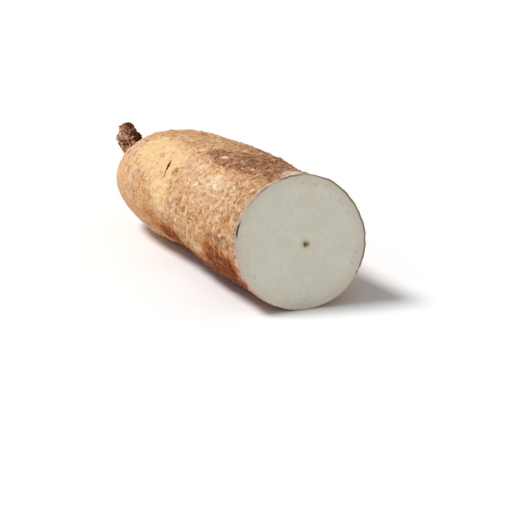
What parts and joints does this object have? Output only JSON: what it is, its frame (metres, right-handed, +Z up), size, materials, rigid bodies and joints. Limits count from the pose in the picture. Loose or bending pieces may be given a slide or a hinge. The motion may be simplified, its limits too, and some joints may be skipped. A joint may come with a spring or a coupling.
{
  "type": "cassava root",
  "caption": "Half of a fresh cassava root: a stout, slightly bowed tuber with corky skin, a domed end with a woody stub, and a flat oblique cut that shows white flesh.",
  "frame": {"origin": "on the floor, under the middle of the root's bounding box", "axes": "+X along the root towards the cut face, -X towards the stub, +Z up from the floor"},
  "size_m": [0.247, 0.082, 0.0737],
  "materials": {
    "root": "matt corky bark, creamy tan to reddish brown; the cut shows matt greenish white flesh and the stub is dark brown"
  },
  "bodies": {
    "root": {"cassava_root": "root"}
  },
  "joints": []
}
